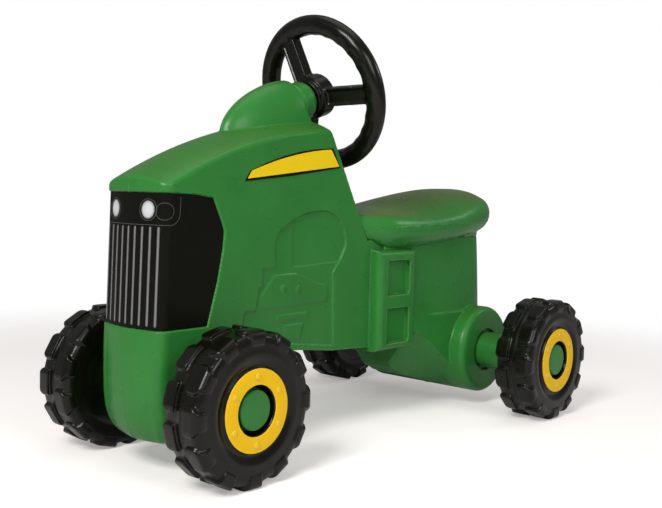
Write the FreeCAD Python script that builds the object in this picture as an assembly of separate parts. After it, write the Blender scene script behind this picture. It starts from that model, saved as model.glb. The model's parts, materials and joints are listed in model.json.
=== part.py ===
import FreeCAD, Part
import math
import os

# Ride on tractor toy: a hollow moulded body on four lugged wheels.
# Millimetres. Origin on the floor, midway between the axles on the centre plane.
# +X forward, +Y to the toy's left, +Z up.

V = FreeCAD.Vector

# driving dimensions
wheel_base = 444.4
tyre_radius = 72.0
tyre_half = 23.7
front_wheel_y = 97.65
rear_wheel_y = 158.6
lug_count = 12
lug_height = 3.8
lug_inner = 6.0
axle_radius = 5.0
run_fit = 0.06
end_play = 0.3
wall = 3.0
body_half = 46.0
nose_corner = 12.0
nose_bow = 5.0
hood_crown = 14.0
hood_round = 5.0
label_recess = 2.4
label_thick = 0.8
badge_thick = 0.6
panel_recess = 2.5
block_drop = 0.5
step_half = 60.0
step_recess = 6.0
barrel_radius = 54.5
barrel_half = 81.0
barrel_well = 5.0
spigot_radius = 9.0
peg_radius = 8.0
pedestal_top = 49.0
pedestal_back = -226.0
seat_floor = 214.0
seat_half = 62.0
seat_rear = -293.0
back_foot, back_slope = -18.43, 0.5533
steer_x, steer_z, steer_tilt = 14.6, 377.3, 18.63
rim_radius = 76.2
rim_tube = 11.0
spoke_angle = 3.0
spoke_dish = 0.28
hub_radius = 24.0
shaft_radius = 6.0

axle_height = tyre_radius
front_x = wheel_base / 2
rear_x = -wheel_base / 2
axis_y = V(0, 1, 0)
clear_half = 70.0

os.makedirs("parts", exist_ok=True)


def write(name, shape):
    shape.exportStep("parts/" + name + ".step")
    print(name, len(shape.Solids), "solids", round(shape.Volume / 1000.0, 2), "cm3", shape.isValid())


def face_of(points):
    return Part.Face(Part.makePolygon(points + [points[0]]))


def prism_y(points, y0, y1):
    return face_of([V(x, y0, z) for x, z in points]).extrude(V(0, y1 - y0, 0))


def both_sides(points, y0, y1):
    return prism_y(points, y0, y1).fuse(prism_y(points, -y1, -y0))


def bend(start, middle, end, steps=5):
    # points along the circle that runs through the three given ones
    arc = Part.Arc(V(*start, 0), V(*middle, 0), V(*end, 0))
    return [(p.x, p.y) for p in arc.toShape().discretize(steps + 1)]


def grown(points, t):
    # polygon moved outwards by t (negative t moves it inwards), mitred corners
    pairs = list(zip(points, points[1:] + points[:1]))
    area = sum(ax * by - bx * ay for (ax, ay), (bx, by) in pairs)
    sign = 1.0 if area > 0 else -1.0
    lines = []
    for (ax, ay), (bx, by) in pairs:
        length = math.hypot(bx - ax, by - ay)
        nx, ny = sign * (by - ay) / length, -sign * (bx - ax) / length
        lines.append((nx, ny, nx * ax + ny * ay + t))
    out = []
    for i, (px, py) in enumerate(points):
        a1, b1, c1 = lines[i - 1]
        a2, b2, c2 = lines[i]
        det = a1 * b2 - a2 * b1
        if abs(det) < 1e-6:
            out.append((px + a1 * t, py + b1 * t))
        else:
            out.append(((c1 * b2 - c2 * b1) / det, (a1 * c2 - a2 * c1) / det))
    return out


def revolve_y(points, x, y, z, side=1.0):
    # (radius, distance along Y) outline turned about a line along Y
    outline = [V(x + r, y + side * d, z) for r, d in points]
    return face_of(outline).revolve(V(x, y, z), axis_y, 360)


def bore(radius, x, y0, y1, z):
    return Part.makeCylinder(radius, y1 - y0, V(x, y0, z), axis_y)


# front body

# height, front, and how far each side is drawn in
nose_front = [
    (30, 262.0, 11.0),
    (33, 266.0, 7.0),
    (38, 270.0, 4.0),
    (46, 273.6, 1.6),
    (57, 276.8, 0.4),
    (72, 278.6, 0.0),
    (92, 279.2, 0.0),
    (117, 279.2, 0.0),
    (430, 269.4, 0.0),
]
nose_back = -120.0
# hood line over x / 100: cubic, square, plain and constant terms
hood_curve = (-1.1698, -4.9641, -3.8509, 335.652)
hood_half = body_half + 14.0
top_limit = 430.0
front_side = [
    (-60, 90), (38, 95), (87, 101), (126, 104), (158, 58), (174, 36), (180, 20), (310, 20),
    (310, top_limit), (back_foot + back_slope * (top_limit - seat_floor), top_limit),
    (back_foot, seat_floor), (-60, seat_floor),
]
label_side = [
    (210.8, 259.5), (198.5, 234), (196.3, 227.9), (198, 210), (204, 180), (216.1, 137.4),
    (290, 137.4), (290, 264), (232, 262.5),
]
panel_side = [(154.5, 148.8), (146.0, 190.3), (127.8, 190.3), (128.5, 217.8)]
panel_side += bend((123.0, 225.8), (92.7, 242.0), (62.0, 247.2))
panel_side += bend((62.0, 247.2), (32.6, 239.7), (18.2, 215.4))[1:]
panel_side += [(19.5, 206.6), (27.4, 193.7), (38.5, 181.1), (35.6, 100), (126, 112), (140, 130)]
block_side = [
    (127.4, 181.3), (95.2, 181.7), (62.3, 169.4), (48.5, 167.5), (45.7, 156.4), (50.4, 150.3),
    (142, 149.0), (146.3, 153.2), (147.0, 161.4),
]
bar_side = [(76.8, 135.6), (122.5, 135.6), (122.5, 140.3), (76.8, 140.3)]
cover_side = [(88.3, 114.5), (109.4, 115.1), (114.2, 129.1), (84.2, 128.4)]
bolt_places = [(115.4, 167.3), (93.1, 166.0)]
bolt_radius = 3.2


def nose_section(z, x, half, t):
    half, x, corner = half - t, x - t, nose_corner - min(t, 6.0)
    edge_x, yc = x - nose_bow, half - corner
    k = corner * (1 - math.sqrt(0.5))
    a, b, c = V(nose_back, -half, z), V(edge_x - corner, -half, z), V(edge_x, -yc, z)
    d, e, f = V(edge_x, yc, z), V(edge_x - corner, half, z), V(nose_back, half, z)
    right = Part.Arc(b, V(edge_x - k, -half + k, z), c)
    front = Part.Arc(c, V(x, 0, z), d)
    left = Part.Arc(d, V(edge_x - k, half - k, z), e)
    arcs = [curve.toShape() for curve in (right, front, left)]
    return Part.Wire([Part.makeLine(a, b)] + arcs + [Part.makeLine(e, f), Part.makeLine(f, a)])


def hood_section(x, t):
    u = x / 100.0
    cubic, square, plain, constant = hood_curve
    top = ((cubic * u + square) * u + plain) * u + constant - t + hood_crown
    side = top - hood_crown * (hood_half / body_half) ** 2
    a, b = V(x, -hood_half, 0), V(x, hood_half, 0)
    c, d = V(x, hood_half, side), V(x, -hood_half, side)
    crown = Part.Arc(c, V(x, 0, top), d).toShape()
    return Part.Wire([Part.makeLine(a, b), Part.makeLine(b, c), crown, Part.makeLine(d, a)])


def rounded_top(solid, radius):
    # softens the whole border of the largest upward face
    def faces_up(face):
        middle = [sum(face.ParameterRange[i:i + 2]) / 2 for i in (0, 2)]
        return face.normalAt(*middle).z > 0.6

    top = max(filter(faces_up, solid.Faces), key=lambda face: face.Area)
    return solid.makeFillet(radius, top.Edges)


def front_block(t):
    sections = []
    for i, (z, x, drawn) in enumerate(nose_front):
        sections.append(nose_section(z + t if i == 0 else z, x, body_half - drawn, t))
    plan = Part.makeLoft(sections, True, True)
    hood = Part.makeLoft([hood_section(-80 + 40 * i, t) for i in range(11)], True, False)
    block = plan.common(prism_y(grown(front_side, -t), -clear_half, clear_half)).common(hood)
    return rounded_top(block.Solids[0], hood_round) if t == 0 else block.Solids[0]


def block_shapes(y0, y1):
    # raised engine block, bar and small cover standing in the side panel
    shape = both_sides(block_side, y0, y1)
    for outline in (bar_side, cover_side):
        shape = shape.fuse(both_sides(outline, y0, y1))
    return shape


# cowl and steering boss

tilt = math.radians(steer_tilt)
steer_axis = V(-math.cos(tilt), 0, math.sin(tilt))
steer_centre = V(steer_x, 0, steer_z)
cowl_front, cowl_back, cowl_half = 163.6, 60.0, 28.0
cowl_base, cowl_foot, cowl_rise = 318.0, 325.0, 61.5
cowl_sunk = 290.0
cowl_end = -52.0
boss_radius, boss_face = 21.5, -29.0


def at_steer(s):
    return steer_centre + steer_axis * s


def turned(points):
    # (radius, distance along the steering axis) outline turned about that axis
    across = V(math.sin(tilt), 0, math.cos(tilt))
    outline = [at_steer(s) + across * r for r, s in points]
    return face_of(outline).revolve(steer_centre, steer_axis, 360)


def cowl_section(x, half, top):
    # half an ellipse on two straight feet that end inside the hood
    rows = []
    for i in range(13):
        a = math.pi * i / 12
        rows.append(V(x, half * math.cos(a), cowl_base + (top - cowl_base) * math.sin(a)))
    curve = Part.BSplineCurve()
    curve.interpolate(rows)
    foot0, foot1 = V(x, -half, cowl_sunk), V(x, half, cowl_sunk)
    feet = [Part.makeLine(rows[-1], foot0), Part.makeLine(foot0, foot1), Part.makeLine(foot1, rows[0])]
    return Part.Wire([curve.toShape()] + feet)


def cowl(t):
    # bullet shape: stations spread like points round a quarter ellipse, then straight back
    wires = []
    for i in range(10):
        a = math.radians(4 + 86.0 * i / 9)
        u = math.cos(a)
        x = cowl_back + (cowl_front - t - cowl_back) * u
        top = cowl_foot - t + cowl_rise * (1 - u ** 1.8) ** 0.62
        wires.append(cowl_section(x, (cowl_half - t) * math.sin(a), top))
    for x in (cowl_back - 16, cowl_back - 32):
        wires.append(cowl_section(x, cowl_half - t, cowl_foot - t + cowl_rise))
    # cut off square to the steering axis at the back
    behind = Part.makeCylinder(120, 120, at_steer(cowl_end - t), steer_axis)
    return Part.makeLoft(wires, True, False).cut(behind)


def boss(t):
    r, face = boss_radius - t, boss_face - t
    root = face - 46
    outline = [(0, root), (r - 1.5, root), (r - 1.5, cowl_end), (r, cowl_end + 5), (r, boss_face - 7)]
    outline += [(r - 1.5, face - 2.5 + t * 0.5), (r - 4.5 + t * 0.5, face), (0, face)]
    return turned(outline)


# pedestal, hull, step boxes, barrel

pedestal_high = seat_floor + 16
pedestal_side = [
    (-30, pedestal_high), (-300, pedestal_high), (-300, 66), (-222, 40), (-190, 41.5),
    (-120, 94), (-106, 101), (-90, 105), (-30, 105),
]
# height, half width and the middle of the round back
pedestal_rows = [(50, 61.8, -215.0), (132, 57.0, -219.0), (seat_floor, pedestal_top, pedestal_back)]
pedestal_front = -45.0
# place, half width, height of each side and of the keel
hull_rows = [
    (-94.0, 54.0, 106.0, 62.0),
    (-100.0, 56.0, 103.0, 55.0),
    (-120.0, 58.0, 94.0, 44.5),
    (-165.0, 60.5, 60.0, 32.5),
    (-200.0, 61.0, 33.0, 23.0),
    (-224.0, 61.0, 22.0, 17.8),
]
hull_top, keel_half = 122.0, 22.0
step_back, step_long, step_low, step_high = -96.0, 71.0, 87.0, 116.0
well_back, well_front = -82.0, -40.0
well_heights = [(95.0, 136.0), (151.0, 191.0)]
barrel_round = 8.0
well_radius = 26.5


def pedestal_section(z, half, centre, t):
    half, front = half - t, pedestal_front - t
    a, b = V(front, half, z), V(centre, half, z)
    c, d = V(centre - half, 0, z), V(centre, -half, z)
    e = V(front, -half, z)
    back = Part.Arc(b, c, d).toShape()
    return Part.Wire([Part.makeLine(a, b), back, Part.makeLine(d, e), Part.makeLine(e, a)])


def pedestal(t):
    (z0, half0, x0), (z1, half1, x1), (z2, half2, x2) = pedestal_rows
    wires = [pedestal_section(z0 + t, half0, x0, t), pedestal_section(z1, half1, x1, t)]
    tower = Part.makeLoft(wires + [pedestal_section(z2 - t, half2, x2, t)], True, False)
    # lower edge runs down from the step box to the barrel
    return tower.common(prism_y(grown(pedestal_side, -t), -clear_half, clear_half))


def hull(t):
    wires = []
    for i, (x, half, side, low) in enumerate(hull_rows):
        h, s, keel = half - t, side + t, low + t
        points = [(-h, hull_top), (h, hull_top), (h, s), (keel_half, keel), (-keel_half, keel), (-h, s)]
        corners = [V(x - t if i == 0 else x, y, z) for y, z in points]
        wires.append(Part.makePolygon(corners + corners[:1]))
    return Part.makeLoft(wires, True, True)


def step_boxes(t):
    y = step_half - t
    box = Part.makeBox(step_long - 2 * t, 2 * y, step_high - 2 * t, V(step_back + t, -y, step_low + t))
    outer = [e for e in box.Edges if all(abs(abs(v.Y) - y) < 1e-6 for v in e.Vertexes)]
    outer = [e for e in outer if abs(e.Vertexes[0].Y - e.Vertexes[1].Y) < 1e-6]
    return box.makeFillet(8.0 - min(t, 4.0), outer)


def step_wells(t):
    wells = []
    x0, x1 = well_back - t, well_front + t
    y0, deep = step_half - t - step_recess, 30.0
    for low, high in well_heights:
        for y in (y0, -y0 - deep):
            well = Part.makeBox(x1 - x0, deep, high - low + 2 * t, V(x0, y, low - t))
            along = [e for e in well.Edges if abs(e.Vertexes[0].Y - e.Vertexes[1].Y) > 1]
            wells.append(well.makeFillet(4.0 + t, along))
    return wells


def barrel(t):
    y, f = barrel_half - t, barrel_round - t
    whole = bore(barrel_radius - t, rear_x, -y, y, axle_height)
    ends = [e for e in whole.Edges if e.Closed]
    whole = whole.makeFillet(f, ends)
    # shallow well round each spacer
    for side in (1, -1):
        foot = V(rear_x, side * (barrel_half - barrel_well - t), axle_height)
        whole = whole.cut(Part.makeCylinder(well_radius + t, 20, foot, V(0, side, 0)))
    return whole


def body_skin(t):
    front = front_block(t)
    # label recess round the nose and engine panel recess in each side
    recess = prism_y(grown(label_side, t), -clear_half, clear_half)
    front = front.cut(recess.cut(front_block(label_recess + t)))
    panel_y = body_half - panel_recess - t
    panels = both_sides(grown(panel_side, t), panel_y, clear_half)
    if t == 0:
        panels = panels.cut(block_shapes(panel_y - 1, body_half - block_drop))
    shape = front.cut(panels)
    for piece in (cowl(t), boss(t), pedestal(t), hull(t), step_boxes(t), barrel(t)):
        shape = shape.fuse(piece)
    for well in step_wells(t):
        shape = shape.cut(well)
    return shape


peg_places = [(-90.0, 0.0), (-210.0, 0.0)]

body = body_skin(0).cut(body_skin(wall))
for x, y in ((front_x, body_half + 14), (rear_x, barrel_half + 9)):
    body = body.cut(bore(spigot_radius, x, -y, y, axle_height))
body = body.cut(Part.makeCylinder(spigot_radius, 40, at_steer(cowl_end - 8), steer_axis))
for x, y in peg_places:
    body = body.cut(Part.makeCylinder(peg_radius, 20, V(x, y, seat_floor - 10)))
for x, z in bolt_places:
    for side in (1, -1):
        foot = V(x, side * (body_half - 1.0), z)
        body = body.fuse(Part.makeCylinder(bolt_radius, 1.8, foot, V(0, side, 0)))
body = body.removeSplitter()
write("body_shell", body)

# labels

label_room = prism_y(grown(label_side, -end_play), -clear_half, clear_half)
label = front_block(label_recess - label_thick).cut(front_block(label_recess)).common(label_room)
write("grille_label", label)
badge_side = [(172.2, 275.9)]
badge_side += bend((165.8, 285.8), (107.0, 305.4), (44.4, 314.0))
badge_side += [(33.0, 293.8), (109.9, 282.7)]
for name, side in (("hood_label_left", 1), ("hood_label_right", -1)):
    badge = face_of([V(x, side * body_half, z) for x, z in badge_side])
    write(name, badge.extrude(V(0, side * badge_thick, 0)))

# seat

# distance from the rear end, share of the half width, heights over the seat's floor of the widest line,
# the crown, the edge of the top and the lowest line, and where that edge lies across the half width
seat_rows = [
    (309.0, 0.70, 20.0, 30.0, 28.5, 4.0, 0.88),
    (273.0, 0.78, 20.0, 33.0, 28.5, -2.0, 0.88),
    (258.0, 0.87, 19.8, 35.0, 28.4, -6.5, 0.88),
    (243.0, 0.94, 19.5, 37.0, 28.3, -9.0, 0.88),
    (208.0, 0.99, 19.0, 44.5, 28.2, -9.5, 0.88),
    (173.0, 1.00, 18.5, 51.3, 28.2, -7.5, 0.88),
    (133.0, 1.00, 19.0, 57.5, 30.3, -4.0, 0.88),
    (98.0, 1.00, 22.0, 61.0, 35.5, -0.5, 0.88),
    (68.0, 0.97, 25.5, 62.0, 44.0, 4.0, 0.85),
    (43.0, 0.91, 28.0, 62.0, 50.0, 8.0, 0.78),
    (23.0, 0.79, 29.0, 59.5, 51.0, 12.5, 0.70),
    (10.0, 0.61, 29.5, 54.0, 48.0, 17.5, 0.66),
    (2.5, 0.38, 30.0, 46.0, 42.5, 22.5, 0.62),
    (0.0, 0.17, 30.0, 37.0, 35.5, 26.5, 0.60),
]
foot_share = 0.80
seat_gap = 0.6
neck_high = 22.0
room_deep = 40.0


def seat_section(x, half, widest, crown, edge, low, share):
    # flat underside, a round lip on each side and a crowned top between two soft edges
    foot, brow = half * foot_share, half * share
    points = [(foot, low), (half, widest), (brow, edge), (0, crown)]
    points += [(-y, z) for y, z in points[2::-1]]
    a, b, c, d, e, f, g = [V(x, y, seat_floor + z) for y, z in points]
    arcs = [Part.Arc(a, b, c), Part.Arc(c, d, e), Part.Arc(e, f, g)]
    return Part.Wire([arc.toShape() for arc in arcs] + [Part.makeLine(g, a)])


def seat_solid(t):
    wires = []
    for x, width, widest, crown, edge, low, share in seat_rows[:-1] if t else seat_rows:
        floor = max(low, 0) + t if t else low
        half = width * seat_half - t
        wires.append(seat_section(seat_rear + x + t, half, widest, crown - t, edge - t, floor, share))
    solid = Part.makeLoft(wires, True, False)
    # front end lies along the sloping back of the front body
    foot = back_foot - (seat_gap + t) * math.hypot(1, back_slope)
    low, high, ahead = -40, 100, 120
    slope = [(foot + back_slope * z, seat_floor + z) for z in (low, high)]
    return solid.cut(prism_y(slope + [(ahead, seat_floor + high), (ahead, seat_floor + low)], -90, 90))


def seat_room(t):
    # where the top of the pedestal and of the front body stand
    low = seat_floor - room_deep
    tower = Part.Face(pedestal_section(low, pedestal_top + 2.2, pedestal_back, -t))
    front = Part.makeBox(120, 2 * (body_half + t), room_deep, V(-60 - t, -body_half - t, low))
    return tower.extrude(V(0, 0, room_deep)).fuse(front)


# the neck carries the seat's underside down to the pedestal
neck = Part.Face(pedestal_section(seat_floor, pedestal_top, pedestal_back, 0)).extrude(V(0, 0, neck_high))
neck = neck.common(seat_solid(0).fuse(Part.makeBox(120, 200, neck_high, V(-300, -100, seat_floor))))
seat = seat_solid(0).fuse(neck).cut(seat_room(end_play)).cut(seat_solid(wall))
for x, y in peg_places:
    seat = seat.fuse(Part.makeCylinder(peg_radius, 12, V(x, y, seat_floor - 9)))
seat = seat.removeSplitter()
write("seat", seat)

# wheels

# one lug, drawn as three outlines: across the tread, from above (notched inside), and along the tread
lug_section = [
    (lug_inner, tyre_radius - 12), (lug_inner, tyre_radius), (tyre_half - 3.5, tyre_radius),
    (tyre_half - 0.3, tyre_radius - 1.8), (tyre_half + 0.8, tyre_radius - 5.5),
    (tyre_half + 0.8, tyre_radius - 12), (tyre_half + 0.5, tyre_radius - 16.5),
    (tyre_half - 3.7, tyre_radius - 16.5), (tyre_half - 11.7, tyre_radius - 12),
]
lug_plan = [
    (-15.0, lug_inner), (-2.0, lug_inner), (0.0, lug_inner + 5), (2.0, lug_inner), (15.0, lug_inner),
    (15.0, tyre_half - 6), (7.0, tyre_half + 1.5), (-7.0, tyre_half + 1.5), (-15.0, tyre_half - 6),
]
lug_side = [
    (-13.8, tyre_radius - 23), (13.8, tyre_radius - 23), (13.8, tyre_radius - 1.4), (9.0, tyre_radius),
    (-9.0, tyre_radius), (-13.8, tyre_radius - 1.4),
]
hub_floor = 10.0
hub_top = 13.0
inner_face = -tyre_half + 1.7
ring_plane = tyre_half
ring_thick = 1.0
ring_outer = 38.1
ring_inner = 23.4
ring_edge = 0.3
collar_radius = 16.4
cap_radius = 18.5
tube_radius = 12.0

# from the ring out to the tread: distance in from the tread's radius, and from the widest point
sidewall = [(22, 0.3), (16, 0.9), (11, 1.0), (8.2, 1.5), (6.2, 2.6), (4.9, 4.6), (4.2, 8.2)]
sidewall += [(lug_height, 14.0)]
hollow_wall = [(22, 3.6), (12, 4.1), (9.8, 5.0), (8.2, 6.6), (7.3, 9.4), (6.8, 13.5)]


def across_tread(rows):
    # the same wall on both sides, joined over the tread
    outer = [(tyre_radius - r, tyre_half - w) for r, w in rows]
    return [(r, -w) for r, w in outer] + outer[::-1]


bearing = axle_radius + run_fit
ring_seat = ring_plane - ring_thick
tyre_outline = [(bearing, inner_face), (tyre_radius - 32, inner_face), (tyre_radius - 28, inner_face - 0.6)]
tyre_outline += across_tread(sidewall)
tyre_outline += [
    (tyre_radius - 27, tyre_half - 0.8), (ring_outer + 3.4, tyre_half - 2.3),
    (ring_outer + 1.5, tyre_half - 2.5), (ring_outer + ring_edge, ring_seat),
    (ring_inner - 0.6, ring_seat), (ring_inner - 1.6, hub_floor), (collar_radius, hub_floor),
    (collar_radius, hub_top), (bearing, hub_top),
]
tyre_hollow = [(tube_radius, inner_face + 3.2), (tyre_radius - 28, inner_face + 2.8)]
tyre_hollow += across_tread(hollow_wall)
tyre_hollow += [
    (tyre_radius - 28, tyre_half - 5.5), (ring_inner + 0.6, tyre_half - 5.7),
    (ring_inner + 0.6, hub_floor - wall), (tube_radius, hub_floor - wall),
]
ring_outline = [
    (ring_inner, ring_seat), (ring_outer, ring_seat), (ring_outer, ring_plane - ring_edge),
    (ring_outer - ring_edge, ring_plane), (ring_inner + ring_edge, ring_plane),
    (ring_inner, ring_plane - ring_edge),
]
cap_outline = [
    (collar_radius, hub_floor), (cap_radius, hub_floor), (cap_radius, 20.4), (cap_radius - 1.2, 21.5),
    (0, 21.9), (0, 20.1), (collar_radius, 19.9),
]


def lug(side, angle):
    section = face_of([V(-20, side * w, r) for w, r in lug_section]).extrude(V(40, 0, 0))
    plan = face_of([V(s, side * w, tyre_radius - 27) for s, w in lug_plan]).extrude(V(0, 0, 30))
    ends = face_of([V(s, -tyre_half - 6, r) for s, r in lug_side]).extrude(V(0, 2 * tyre_half + 12, 0))
    block = section.common(plan).common(ends)
    block.rotate(V(0, 0, 0), axis_y, angle)
    return block


def wheel_solid():
    pitch = 360.0 / lug_count
    lugs = []
    for i in range(lug_count):
        lugs += [lug(1, pitch * i), lug(-1, pitch * (i + 0.5))]
    tyre = revolve_y(tyre_outline, 0, 0, 0).multiFuse(lugs)
    return tyre.cut(revolve_y(tyre_hollow, 0, 0, 0)).removeSplitter()


def placed(shape, x, y, side):
    out = shape.copy()
    if side < 0:
        out.rotate(V(0, 0, 0), V(0, 0, 1), 180)
    out.translate(V(x, y, axle_height))
    return out


wheel = wheel_solid()
ring = revolve_y(ring_outline, 0, 0, 0)
cap = revolve_y(cap_outline, 0, 0, 0)
wheel_places = [
    ("front_left", front_x, front_wheel_y, 1),
    ("front_right", front_x, -front_wheel_y, -1),
    ("rear_left", rear_x, rear_wheel_y, 1),
    ("rear_right", rear_x, -rear_wheel_y, -1),
]
for corner, x, y, side in wheel_places:
    write(corner + "_wheel", placed(wheel, x, y, side))
    write(corner + "_ring", placed(ring, x, y, side))
    write(corner + "_cap", placed(cap, x, y, side))

# axles, washers, push nuts, spacers

axle_end = 18.4
washer_foot = hub_top + end_play
washer_top = washer_foot + 1.3
nut_top = washer_top + 3.0
for name, x, wheel_y in (("front_axle", front_x, front_wheel_y), ("rear_axle", rear_x, rear_wheel_y)):
    write(name, bore(axle_radius, x, -wheel_y - axle_end, wheel_y + axle_end, axle_height))
washer_radius, nut_radius = 10.5, 9.0
washer_outline = [
    (axle_radius, washer_foot), (washer_radius, washer_foot), (washer_radius, washer_top),
    (axle_radius, washer_top),
]
nut_outline = [
    (axle_radius, washer_top), (nut_radius, washer_top), (nut_radius, washer_top + 1.0),
    (nut_radius - 1.6, nut_top), (axle_radius, nut_top),
]
for name, outline in (("axle_washers", washer_outline), ("axle_push_nuts", nut_outline)):
    one = revolve_y(outline, 0, 0, 0)
    write(name, Part.makeCompound([placed(one, x, y, side) for _, x, y, side in wheel_places]))

spigot_long = 7.0
spacer_rows = [
    ("front_spacer", front_x, body_half, front_wheel_y, 20.0),
    ("rear_spacer", rear_x, barrel_half - barrel_well, rear_wheel_y, 22.5),
]


def spacer(x, seat_y, tip_y, radius, side):
    # cup with a central tube; the tube runs on as a spigot through the body wall
    outline = [
        (axle_radius, seat_y - spigot_long), (spigot_radius, seat_y - spigot_long), (spigot_radius, tip_y - 4),
        (radius - wall, tip_y - 4), (radius - wall, seat_y), (radius, seat_y), (radius, tip_y - 1),
        (radius - 1, tip_y), (axle_radius, tip_y),
    ]
    return revolve_y(outline, x, 0, axle_height, side)


for name, x, seat_y, wheel_y, radius in spacer_rows:
    tip_y = wheel_y + inner_face - end_play
    write(name + "_left", spacer(x, seat_y, tip_y, radius, 1.0))
    write(name + "_right", spacer(x, seat_y, tip_y, radius, -1.0))

# steering

bush_end = -58.0
bush_flange = 15.0
bush_face = boss_face + 1.4
nut_face = bush_end - end_play
shaft_near, shaft_far = -4.6, -66.0
cap_rim, cap_hole = 15.8, 12.8
cap_foot, cap_seat = -7.0, -3.8
rail = 2.5
rail_high = 1.5


def spoke(angle):
    # box section, its two long edges raised on both faces; dished back towards the cowl at the hub
    wide, deep = 20.0, 9.0
    core = Part.makeBox(rim_radius, wide, deep, V(0, -wide / 2, -deep / 2))
    for y in (-wide / 2, wide / 2 - rail):
        core = core.fuse(Part.makeBox(rim_radius, rail, deep + 2 * rail_high, V(0, y, -deep / 2 - rail_high)))
    core.rotate(V(0, 0, 0), V(0, 1, 0), -math.degrees(math.atan(spoke_dish)))
    core.translate(V(0, 0, 2.0 - spoke_dish * rim_radius))
    core.rotate(V(0, 0, 0), V(0, 0, 1), angle)
    return core


def steering_grip():
    grip = Part.makeTorus(rim_radius, rim_tube)
    grip = grip.fuse(Part.makeCylinder(hub_radius, 19.0, V(0, 0, -22)))
    grip = grip.fuse(Part.makeCylinder(hub_radius - 3.5, 8.0, V(0, 0, bush_face + end_play)))
    for i in range(3):
        grip = grip.fuse(spoke(120 * i))
    grip = grip.cut(Part.makeCylinder(shaft_radius, 60, V(0, 0, -40)))
    grip = grip.cut(Part.makeCylinder(cap_rim + 0.2, 20, V(0, 0, cap_foot))).removeSplitter()
    grip.rotate(V(0, 0, 0), V(0, 0, 1), -spoke_angle)
    # local +Z lies along the steering axis, local +X towards the toy's left
    rows = [
        (0, steer_axis.z, steer_axis.x, steer_x),
        (1, 0, 0, 0),
        (0, -steer_axis.x, steer_axis.z, steer_z),
        (0, 0, 0, 1),
    ]
    return grip.transformed(FreeCAD.Matrix(*[value for row in rows for value in row]))


bush = [
    (shaft_radius + run_fit, bush_end), (spigot_radius, bush_end), (spigot_radius, boss_face),
    (bush_flange, boss_face), (bush_flange, bush_face), (shaft_radius + run_fit, bush_face),
]
cap_top = [(0, cap_seat), (cap_rim, cap_seat), (cap_rim, -2.0), (cap_rim - 2.3, -0.4), (0, 0.6)]
cap_skirt = [(cap_hole, cap_foot), (cap_rim, cap_foot), (cap_rim, cap_seat), (cap_hole, cap_seat)]
shaft = [(0, shaft_near), (shaft_radius, shaft_near), (shaft_radius, shaft_far), (0, shaft_far)]
push_nut = [
    (shaft_radius, nut_face), (11.5, nut_face), (11.5, nut_face - 1.2), (8.0, nut_face - 3.7),
    (shaft_radius, nut_face - 3.7),
]
write("steering_bush", turned(bush))
write("steering_wheel", steering_grip())
write("steering_cap", turned(cap_top).fuse(turned(cap_skirt)).removeSplitter())
write("steering_shaft", turned(shaft))
write("steering_push_nut", turned(push_nut))
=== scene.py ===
import bpy
import bmesh
import json
from math import sin, cos, pi, asin, atan, atan2, radians, hypot, sqrt
from mathutils import Vector, Matrix


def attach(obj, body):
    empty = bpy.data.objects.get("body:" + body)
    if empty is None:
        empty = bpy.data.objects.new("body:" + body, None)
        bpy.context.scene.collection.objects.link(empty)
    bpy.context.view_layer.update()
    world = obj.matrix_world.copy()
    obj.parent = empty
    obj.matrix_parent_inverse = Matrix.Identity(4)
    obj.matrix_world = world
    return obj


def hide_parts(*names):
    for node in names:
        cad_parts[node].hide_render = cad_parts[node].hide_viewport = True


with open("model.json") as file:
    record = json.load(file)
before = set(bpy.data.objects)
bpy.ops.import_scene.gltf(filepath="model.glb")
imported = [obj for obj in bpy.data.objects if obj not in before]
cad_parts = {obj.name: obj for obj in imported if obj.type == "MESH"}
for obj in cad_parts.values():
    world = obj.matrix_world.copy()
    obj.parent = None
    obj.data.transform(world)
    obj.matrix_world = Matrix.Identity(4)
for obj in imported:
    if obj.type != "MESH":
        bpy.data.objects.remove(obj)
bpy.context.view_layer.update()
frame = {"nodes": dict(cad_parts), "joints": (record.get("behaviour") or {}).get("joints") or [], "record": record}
mm = 0.001
nodes = frame["nodes"]
joints = {joint["name"]: joint for joint in frame["joints"]}


# small tools

def hexColour(text):
    channels = [int(text[i:i + 2], 16) / 255 for i in (1, 3, 5)]
    return tuple(c / 12.92 if c <= 0.04045 else ((c + 0.055) / 1.055) ** 2.4 for c in channels) + (1.0,)


def put(tree, kind, sockets=None, stops=None, **settings):  # one node with its settings and links
    node = tree.nodes.new(kind)
    for key, value in settings.items():
        setattr(node, key, value)
    for i, (place, colour) in enumerate(stops or []):  # a ramp's colours
        ramp = node.color_ramp.elements
        stop = ramp[i] if i < 2 else ramp.new(place)
        stop.position, stop.color = place, hexColour(colour)
    for key, value in (sockets or {}).items():
        if isinstance(value, bpy.types.NodeSocket):
            tree.links.new(value, node.inputs[key])
        else:
            node.inputs[key].default_value = value
    return node


def newMaterial(name):
    material = bpy.data.materials.new(name)
    material.use_nodes = True
    material.node_tree.nodes.clear()
    return material, material.node_tree


def addPiece(name, mesh, material=None):
    piece = bpy.data.objects.new(name, mesh)
    bpy.context.scene.collection.objects.link(piece)
    if material:
        mesh.materials.clear()
        mesh.materials.append(material)
    mesh.polygons.foreach_set("use_smooth", [True] * len(mesh.polygons))
    return piece


def handOver(piece, body, slotName, *replaced):  # hangs a finished piece on its body and hides the CAD nodes it replaces
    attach(piece, body)
    if replaced:
        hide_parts(*replaced)


def edited(mesh, change):  # runs a change on the mesh's editable form
    bm = bmesh.new()
    bm.from_mesh(mesh)
    change(bm)
    bm.to_mesh(mesh)
    bm.free()
    return mesh


def meshFrom(name, points, faces, across=None):  # across is a number for each point that a print reads
    mesh = bpy.data.meshes.new(name)
    mesh.from_pydata([tuple(p) for p in points], [], faces)
    mesh.update()
    if across:
        mesh.attributes.new("across", "FLOAT", "POINT").data.foreach_set("value", across)
    return edited(mesh, lambda bm: bmesh.ops.recalc_face_normals(bm, faces=bm.faces))


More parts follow.
